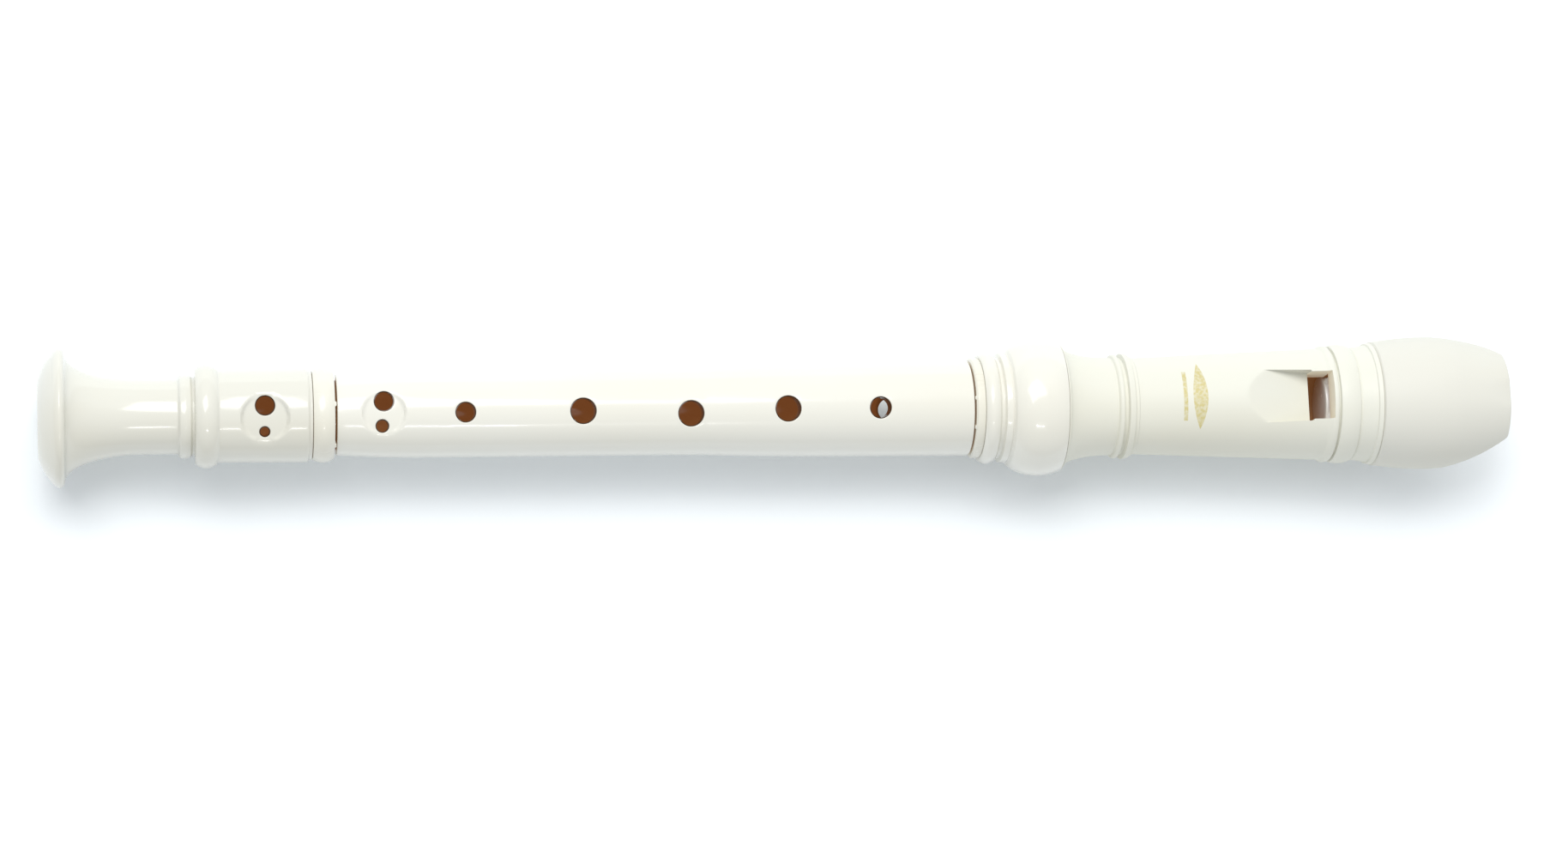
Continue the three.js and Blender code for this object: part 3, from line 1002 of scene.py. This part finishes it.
@dataclass
class HeadBarrel(Piece):
    """The head's barrel: its tail under the bulb, the cove, the rings, the taper, and the window."""

    windway: Windway = field(default_factory=Windway)
    tail: Pair = (9.9, 10.8)
    shoulder: float = 226.9
    socket_end: float = 230.4
    bore: float = 6.7
    low: float = 10.85
    high: float = 12.6
    ramp_start: float = 268.2
    edge: float = 283.3
    edge_height: float = 7.0
    edge_thickness: float = 0.25
    seam: float = 0.2  # how far it reaches into the gap before the beak
    ramp_half: Pair = (6.05, 5.7)
    window_half: float = 5.45
    top_columns: int = 57  # columns across the ramp and the window

    def outer(self) -> Array:
        """The barrel's outline from the tail's end to the seam with the beak."""
        first, last = reach(self.node)
        last += self.seam
        inside, outside = self.tail
        return eased(
            joined(
                [(first, inside), (first, outside), (self.shoulder, outside), (self.shoulder, 14.2)],
                coved((self.shoulder + 0.3, 14.15), (238.0, 11.0), 22),
                [(238.8, 10.9)],
                bowed((239.0, 11.4), (240.0, 11.6), 0.2, 4),
                [(240.15, 10.9), (240.95, 10.9), (241.2, 11.9), (242.5, 11.7), (242.7, 11.1), (243.4, 11.15)],
                [(243.6, self.low), (244.6, self.low), (287.0, self.high)],
                bowed((287.2, 12.9), (288.9, 13.0), 0.25, 8),
                [(289.0, 12.35), (289.35, 12.35)],
                bowed((289.5, 13.1), (293.9, 13.0), 0.4, 10),
                [(294.1, 12.5), (294.45, 12.7), (last - 1.1, 13.2), (last - 1.0, 13.6), (last, 13.8)],
                [(last, self.bore + 0.05)],
            ),
            0.1,
        )

    def inner(self) -> Array:
        """The tail's inside, the socket's end and the bore."""
        first, last = reach(self.node)
        last += self.seam
        return joined(
            [(first + 0.02, self.tail[0]), (self.socket_end, self.tail[0]), (self.socket_end, self.bore)],
            [(last - 0.02, self.bore)],
        )

    def _grid(self, outline: Array, half: Array) -> Array:
        """A turned grid whose first columns run across the top at even steps of y.

        Those go from -half to half, and the rest go round from just past half, evenly by angle.

        Args:
            outline: one [station, radius] a row.
            half: half the width of the top columns, one a row.

        Returns:
            The grid.
        """
        radius = outline[:, 1:]
        across = np.linspace(-1, 1, self.top_columns)[None]
        top = np.arcsin(np.clip(across * half[:, None] / radius, -1, 1))
        side = np.arcsin(np.clip((half[:, None] + 0.1) / radius, -1, 1))
        share = np.linspace(0, 1, COLUMNS - self.top_columns)[None]
        rest = side + (2 * np.pi - 2 * side) * share
        return turned_grid(outline, np.hstack([top, rest]))

    def shell(self) -> Surface:
        """The turned grids with the ramp planed off, the windway's roof raised and the window cut through.

        On the top columns the outside is the smooth minimum of the round barrel and the ramp's plane,
        and the inside is the larger of the bore's height and a flat: just under the ramp at its edge,
        and the windway's roof beyond the window.

        Returns:
            Points, faces and depths.
        """
        end = self.windway.at_window
        rows = np.concatenate(
            [np.arange(self.ramp_start - 1.2, self.edge - 0.2, PITCH), [self.edge, self.edge + 0.06]]
        )
        rows = np.concatenate([rows, np.linspace(self.edge + 0.4, end - 0.06, 12), [end, end + 0.1]])
        outer = resampled(self.outer(), rows)
        inner = resampled(self.inner(), np.concatenate([[rows[0] - 6], rows]))
        top = slice(0, self.top_columns)

        def halves(station: Array, beyond: float) -> Array:
            """Half the width of the top columns at each station."""
            along = np.clip((station - self.ramp_start) / (self.edge - self.ramp_start), 0, 1)
            ramp = self.ramp_half[0] + (self.ramp_half[1] - self.ramp_half[0]) * along
            window = np.where(station > end + 0.05, beyond, self.window_half)
            return np.where(station > self.edge + 0.03, window, ramp)

        outer_grid = self._grid(outer, halves(outer[:, 0], self.window_half))
        inner_half = np.where(inner[:, 0] > end + 0.05, self.windway.half_width, self.window_half)
        inner_grid = self._grid(inner, inner_half)

        crown = float(np.interp(self.ramp_start, *outer.T))
        slope = (self.edge_height - crown) / (self.edge - self.ramp_start)
        station = outer_grid[:, top, 0]
        plane = crown + slope * (station - self.ramp_start)
        planed = smooth_min(outer_grid[:, top, 2], plane, 0.12)
        on_ramp = (station > self.ramp_start - 1.3) & (station < self.edge + 0.03)
        outer_grid[:, top, 2] = np.where(on_ramp, planed, outer_grid[:, top, 2])

        station = inner_grid[:, top, 0]
        under = self.edge_height - self.edge_thickness + (slope + 0.2) * (station - self.edge)
        bore = inner_grid[:, top, 2]
        hollow = (station > self.edge - 5) & (station < self.edge + 0.03)
        roofed = station > end - 0.03
        raised = np.where(hollow, np.maximum(bore, np.minimum(under, 7.2)), bore)
        inner_grid[:, top, 2] = np.where(roofed, self.windway.roof_at(station), raised)

        # painted shade in the bore, a little darker than in the other joints
        inner_depth = np.full(len(inner), BORE_DEPTH + 0.1)
        shell = Shell(outer_grid, inner_grid, np.zeros(len(outer)), inner_depth)
        start, finish = shell.edges((self.edge, end), (0, self.top_columns - 1))
        points = np.concatenate(shell.points)
        # the window's walls get a little painted shade and the thin wall's painted glow
        shares = np.array([0.03, 0.6, 0.97])[:, None, None]
        rings = points[start] * (1 - shares) + points[finish] * shares
        shell.bridge(start, finish, rings, np.array([0.05, 0.08, 0.13]))
        return shell.finished()


def ray_to_circle(centre: Array, radius: Array | float, angles: Array) -> Array:
    """Distance from (0, centre) to a circle about the axis, along each angle from the top.

    It is sqrt(radius^2 - centre^2 * sin^2) - centre * cos, and 0 where the ray misses.
    """
    inside = radius**2 - (centre * np.sin(angles)) ** 2
    distance = np.sqrt(np.maximum(inside, 0)) - centre * np.cos(angles)
    return np.where((inside > 0) & (np.abs(centre) < radius), np.maximum(distance, 0), 0)


def ray_to_level(gap: Array, cosine: Array) -> Array:
    """Distance to a level line `gap` away along rays whose cosine towards it is given; far if they miss."""
    return np.where(cosine > 0.01, gap / np.maximum(cosine, 0.01), 1e3)


def ray_to_box(up: Array, down: Array, side: Array, angles: Array) -> Array:
    """Distance to a box's roof, floor or side, whichever comes first along each angle."""
    cosine = np.cos(angles)
    sides = ray_to_level(side, np.abs(np.sin(angles)))
    return np.minimum.reduce([ray_to_level(up, cosine), ray_to_level(down, -cosine), sides])


def ray_grid(station: Array, centre: Array, distance: Array, angles: Array) -> Array:
    """Points [row, column] = (station, distance * sin(angle), centre + distance * cos(angle))."""
    along = np.broadcast_to(station, distance.shape)
    return np.stack([along, distance * np.sin(angles), centre + distance * np.cos(angles)], 2)


@dataclass(frozen=True)
class BeakShape:
    """The beak's outlines by station: its turned radius, its crown and the hollow curve of its underside."""

    start: float
    end: float
    seam_radius: float = 13.6
    fullest: float = 15.0
    fullest_station: float = 313.0
    tip_radius: float = 12.2
    tip_top: float = 11.8
    tip_bottom: float = 7.4
    cut_start: float = 304.3
    cut_depth: float = -16.0
    cut_hollow: float = 2.2

    def radius(self, station: Array) -> Array:
        """Turned radius at each station."""
        outline = joined(
            [(self.start, self.seam_radius), (self.start + 0.35, self.seam_radius + 0.42)],
            bowed((self.start + 1.5, self.seam_radius + 0.5), (self.fullest_station, self.fullest), 0.25),
            bowed((self.fullest_station + 3, self.fullest - 0.2), (self.end, self.tip_radius - 0.1), 0.15),
        )
        return np.interp(station, *outline.T)

    def crown(self, station: Array) -> Array:
        """Height of the crown's cut at each station."""
        curve = bowed((self.fullest_station + 3, self.fullest), (self.end - 0.4, self.tip_top), 0.3)
        return np.interp(station, *joined([(self.start, self.fullest + 3)], curve).T)

    def underside(self, station: Array, offset: float = 0.0) -> Array:
        """Height of the underside's curve at each station, raised by an offset."""
        curve = bowed((self.cut_start, self.cut_depth), (self.end, self.tip_bottom), self.cut_hollow, 20)
        return np.interp(station, *joined([(self.start, -40.0)], curve).T) + offset


@dataclass
class BeakCap(Piece):
    """The mouthpiece: round at the seam, flattening to a thin arched tip, with the windway through it."""

    windway: Windway = field(default_factory=Windway)
    bore: float = 6.7
    wall: float = 1.0
    block_end: float = 327.3
    edge_round: float = 0.55

    def shell(self) -> Surface:
        """Two grids of rays: the outside, and the hollow that the block and the windway take.

        Outside, each ray from the section's middle stops at the smooth minimum of the turned circle,
        the crown and the underside. Inside, it stops at the larger of the bore and the slot.

        Returns:
            Points, faces and depths.
        """
        first, last = reach(self.node)
        shape = BeakShape(first, last)
        rounding = last - self.edge_round * (1 - np.sin(np.linspace(0, np.pi / 2, 7)))
        seam = [first, first + 0.35, first + 0.9]
        station = np.concatenate([seam, np.arange(first + 1.5, last - 1, 0.5), rounding])[:, None]
        angles = column_angles()[None]
        top, bottom = shape.crown(station), shape.underside(station)
        radius = shape.radius(station)
        centre = 0.5 * (np.maximum(bottom, -radius) + np.minimum(top, radius))
        sides = np.stack(
            [
                ray_to_circle(centre, radius, angles),
                ray_to_level(top - centre, np.cos(angles)),
                ray_to_level(centre - bottom, -np.cos(angles)),
            ]
        )
        power = 30
        distance = (np.maximum(sides, 0.1) ** -power).sum(0) ** (-1 / power)
        past = np.clip((station - (last - self.edge_round)) / self.edge_round, 0, 1)
        distance = distance - self.edge_round * (1 - np.sqrt(1 - past**2))
        outer_grid = ray_grid(station, centre, distance, angles)
        inner_grid = self._hollow(shape, first, last)
        face = outer_grid[-1] * 0.5 + inner_grid[-1] * 0.5
        outer_grid = np.concatenate([outer_grid, face[None]])
        # painted shade in the hollow, from none at the tip to dark 3 mm in
        depth = smooth_step((last - 0.3 - inner_grid[:, 0, 0]) / 3) * 0.8
        return Shell(outer_grid, inner_grid, np.zeros(len(outer_grid)), depth).finished()

    def _hollow(self, shape: BeakShape, first: float, last: float) -> Array:
        """The inner grid: the bore joined to the slot up to the block's end, then the slot alone.

        Rays are spread sideways as atan2(k * sin, cos) with k the slot's width over its height, so that
        one column falls on each of its corners.

        Args:
            shape: the beak's outlines.
            first: the beak's first station.
            last: its last.

        Returns:
            The grid.
        """
        shared = np.linspace(first, self.block_end - 0.05, 30)
        slot_only = np.array([self.block_end, last - 0.3, last])
        station = np.concatenate([shared, slot_only])[:, None]
        alone = station >= self.block_end - 0.01
        roof = self.windway.roof_at(station)
        bottom = np.where(alone, self.windway.floor_at(station), np.maximum(shape.underside(station, self.wall), -99))
        flare = np.where(station > last - 0.01, 0.22, 0.0)
        centre = np.where(alone, (roof + bottom) / 2, (roof + np.maximum(bottom, -3)) / 2)
        stretch = np.where(alone, self.windway.half_width / ((roof - bottom) / 2), 1.3)
        even = column_angles()[None]
        angles = np.arctan2(stretch * np.sin(even), np.cos(even))
        level_floor = np.where(alone, bottom, 0.0)
        half_width = self.windway.half_width + flare
        box = ray_to_box(roof + flare - centre, centre - level_floor + flare, half_width, angles)
        circle = np.where(alone, 0, ray_to_circle(centre, self.bore, angles))
        distance = np.maximum(box, circle)
        distance = np.where(
            alone, distance, np.minimum(distance, ray_to_level(centre - bottom, -np.cos(angles)))
        )
        return ray_grid(station, centre, distance, angles)


@dataclass
class WindwayBlock(Piece):
    """The plug behind the window, with the key on it that is the windway's floor."""

    windway: Windway = field(default_factory=Windway)
    radius: float = 6.35
    lead: float = 0.3  # how far its round front stands out before the key starts
    bevel: float = 1.2
    wall: float = 1.35  # between it and the beak's underside
    key_half: float = 5.1

    def shell(self) -> Surface:
        """Rows of rays that stop at the larger of the plug's circle and the key, closed at both ends.

        Returns:
            Points, faces and depths.
        """
        first, last = reach(self.node)
        shape = BeakShape(*reach("beak_cap"))
        body = np.concatenate([first + np.array([0.25, 0.5, 0.9, 1.2, 1.6]), np.linspace(first + 3, last, 24)])
        station = np.concatenate([[first] * 4, [first + 0.07], body, [last] * 2])[:, None]
        scale = np.concatenate([[0.002, 0.4, 0.8, 0.955], [0.985], np.ones(len(body)), [0.5, 0.002]])[:, None]
        rise = np.clip((station - first - self.lead) / self.bevel, 0, 1)
        floor = self.windway.floor_at(station) - self.bevel * (1 - rise)
        bottom = shape.underside(station, self.wall)
        centre = 0.5 * (np.maximum(bottom, -self.radius) + np.maximum(floor, self.radius * (station < first + 3)))
        angles = column_angles()[None]
        up, down = np.maximum(floor - centre, 0.05), np.maximum(centre, 0.05)
        box = ray_to_box(up, down, np.full_like(centre, self.key_half), angles)
        box = np.where(station > first + self.lead + 0.01, box, 0)
        distance = np.maximum(box, ray_to_circle(centre, self.radius, angles))
        distance = np.minimum(distance, ray_to_level(centre - bottom, -np.cos(angles))) * scale
        grid = ray_grid(station, centre, distance, angles)
        rows, columns = grid.shape[:2]
        k, j = np.meshgrid(np.arange(rows - 1), np.arange(columns), indexing="ij")
        j2 = (j + 1) % columns
        cells = np.stack([k * columns + j, (k + 1) * columns + j, (k + 1) * columns + j2, k * columns + j2], -1)
        numbers = np.arange(rows * columns).reshape(rows, columns)
        numbers[0], numbers[-1] = 0, (rows - 1) * columns
        faces = numbers.reshape(-1)[cells.reshape(-1, 4)]
        used, compact = np.unique(faces, return_inverse=True)
        return grid.reshape(-1, 3)[used], compact.reshape(-1, 4), np.zeros(len(used))


# The setting


@dataclass
class Studio:
    """A pale floor, soft lights from behind and above, and a long lens looking almost straight down."""

    floor_size: float = 6.0
    lens: float = 108.3
    sensor: float = 36.0
    distance: float = 1.053
    lean_along: float = 8.7  # degrees that the view leans towards the bell's side
    lean_across: float = 1.7
    roll: float = 0.92
    aim: Pair = (-0.00004, -0.004335)
    key_power: float = 18.6
    top_power: float = 12.0
    strip_power: float = 1.1
    sky: Triple = (0.95, 0.975, 1.0)
    sky_strength: float = 0.635

    def build_floor(self) -> bpy.types.Object:
        """The floor, level with the recorder's lowest point.

        Returns:
            The floor object.
        """
        half = self.floor_size / 2
        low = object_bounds()[0][2]
        mesh = bpy.data.meshes.new("floor")
        mesh.from_pydata(
            [(-half, -half, low), (half, -half, low), (half, half, low), (-half, half, low)], [], [(0, 1, 2, 3)]
        )
        mesh.materials.append(PaleFloor().material())
        floor = bpy.data.objects.new("floor", mesh)
        bpy.context.collection.objects.link(floor)
        floor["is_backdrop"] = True
        return floor

    def _area(
        self, name: str, place: Triple, size: Pair, power: float,
        colour: Triple = (1, 1, 1), mirrored: bool = True,
    ) -> None:
        """A rectangular light aimed at the recorder.

        Args:
            name: the light's name.
            place: where it stands, in metres.
            size: its width along the recorder and its height.
            power: its power in watts.
            colour: its colour.
            mirrored: whether glossy surfaces show it.
        """
        light = bpy.data.lights.new(name, "AREA")
        light.shape = "RECTANGLE"
        light.size, light.size_y = size
        light.energy = power
        light.color = colour
        lamp = bpy.data.objects.new(name, light)
        lamp.location = place
        lamp.rotation_euler = (Vector((0, 0, 0.015)) - Vector(place)).to_track_quat("-Z", "Y").to_euler()
        lamp.visible_glossy = mirrored
        bpy.context.collection.objects.link(lamp)

    def build_lights(self) -> None:
        """A broad light behind, one overhead, a slim one in front, and a pale sky."""
        self._area("behind", (0.15, 1.15, 1.6), (2.2, 0.9), self.key_power, (1.0, 0.99, 0.97), False)
        self._area("overhead", (-0.4, 0.8, 1.6), (1.1, 0.95), self.top_power)
        self._area("slim", (-0.08, -0.95, 1.45), (0.36, 0.08), self.strip_power)
        world = bpy.data.worlds.new("sky")
        world.use_nodes = True
        background = world.node_tree.nodes["Background"]
        background.inputs["Color"].default_value = (*self.sky, 1)
        background.inputs["Strength"].default_value = self.sky_strength
        bpy.context.scene.world = world
        bpy.context.scene.view_settings.view_transform = "Standard"

    def build_camera(self) -> bpy.types.Object:
        """The camera, leaned and rolled about its aim.

        Returns:
            The camera object.
        """
        data = bpy.data.cameras.new("camera")
        data.lens, data.sensor_width = self.lens, self.sensor
        data.clip_end = 50
        back = Vector(
            (-math.tan(math.radians(self.lean_along)), -math.tan(math.radians(self.lean_across)), 1)
        ).normalized()
        right = (-back).cross(Vector((0, 1, 0))).normalized()
        up = right.cross(-back)
        turn = math.radians(self.roll)
        rolled_right = right * math.cos(turn) - up * math.sin(turn)
        rolled_up = right * math.sin(turn) + up * math.cos(turn)
        place = Vector((*self.aim, axis_height() * MM)) + back * self.distance
        camera = bpy.data.objects.new("camera", data)
        rotation = Matrix((rolled_right, rolled_up, back)).transposed().to_4x4()
        camera.matrix_world = Matrix.Translation(place) @ rotation
        bpy.context.collection.objects.link(camera)
        bpy.context.scene.camera = camera
        return camera


def pieces() -> list[Piece]:
    """Every piece of the recorder, from the bell to the beak."""
    gloss = Plastic("gloss_ivory", (0.76, 0.752, 0.685))
    foot_gloss = Plastic("foot_ivory", (0.695, 0.687, 0.615))
    head_gloss = Plastic("head_ivory", (0.725, 0.722, 0.64), gloss=0.46, coat=0.0, ornament=(257.4, 1.7))
    satin = Plastic("satin_ivory", (0.685, 0.677, 0.61), gloss=0.55, coat=0.0, grain=0.03)
    liner = Plastic("liner_ivory", (0.75, 0.735, 0.65), gloss=0.24, coat=0.3)
    block = Plastic("block_ivory", (0.84, 0.84, 0.82), gloss=0.22, coat=0.4)
    foot_rest = {"body": Body.FOOT, "slot": Slot.GLOSS, "finish": foot_gloss, "turn": FOOT_TURN}
    windway = Windway(length=reach("beak_cap")[1])
    return [
        FootJoint(
            "foot_joint",
            **foot_rest,
            pair=(Hole(49.0, 2.7, 2.2), Hole(48.9, -3.0, 1.2)),
            dish=Dish(49.0, 5.5, 8.5),
            mouth_fade=(2.0, 30.0),
        ),
        SocketLiner("foot_socket_ring", Body.FOOT_SOCKET, Slot.LINER, liner, nibs=(13.0, -46.0)),
        BodyTube(
            "body_tube",
            Body.BODY,
            Slot.GLOSS,
            gloss,
            holes=(
                Hole(92.7, 0.0, 2.28),
                Hole(118.6, 0.0, 2.9),
                Hole(142.5, -0.8, 2.9),
                Hole(164.1, 0.0, 2.9),
                Hole(184.8, 0.0, 2.45),
                Hole(189.6, 0.0, 2.8, from_below=True),
            ),
            pair=(Hole(74.9, 2.6, 2.22), Hole(74.5, -2.8, 1.48)),
            dish=Dish(74.9, 5.0, 8.0),
        ),
        SocketLiner(
            "head_socket_sleeve",
            Body.HEAD_SOCKET,
            Slot.LINER,
            liner,
            inside=8.6,
            flange=11.2,
            flange_width=1.8,
            seam=0.26,
            edge=0.1,
            mouth_first=True,
            nibs=(10.0, -25.0),
            nib_length=0.27,
        ),
        HeadBulb("head_bulb", Body.HEAD, Slot.GLOSS, gloss, HEAD_TURN),
        HeadBarrel("head_barrel", Body.HEAD, Slot.GLOSS, head_gloss, HEAD_TURN, windway=windway),
        WindwayBlock("windway_block", Body.HEAD, Slot.LINER, block, HEAD_TURN, windway=windway),
        BeakCap("beak_cap", Body.HEAD, Slot.SATIN, satin, HEAD_TURN, windway=windway),
    ]


def main() -> None:
    """Builds the setting, then each piece."""
    logging.basicConfig(level=logging.INFO, format="%(name)s %(message)s")
    studio = Studio()
    studio.build_floor()
    studio.build_lights()
    studio.build_camera()
    for piece in pieces():
        piece.build()


if __name__ == "__main__":
    main()
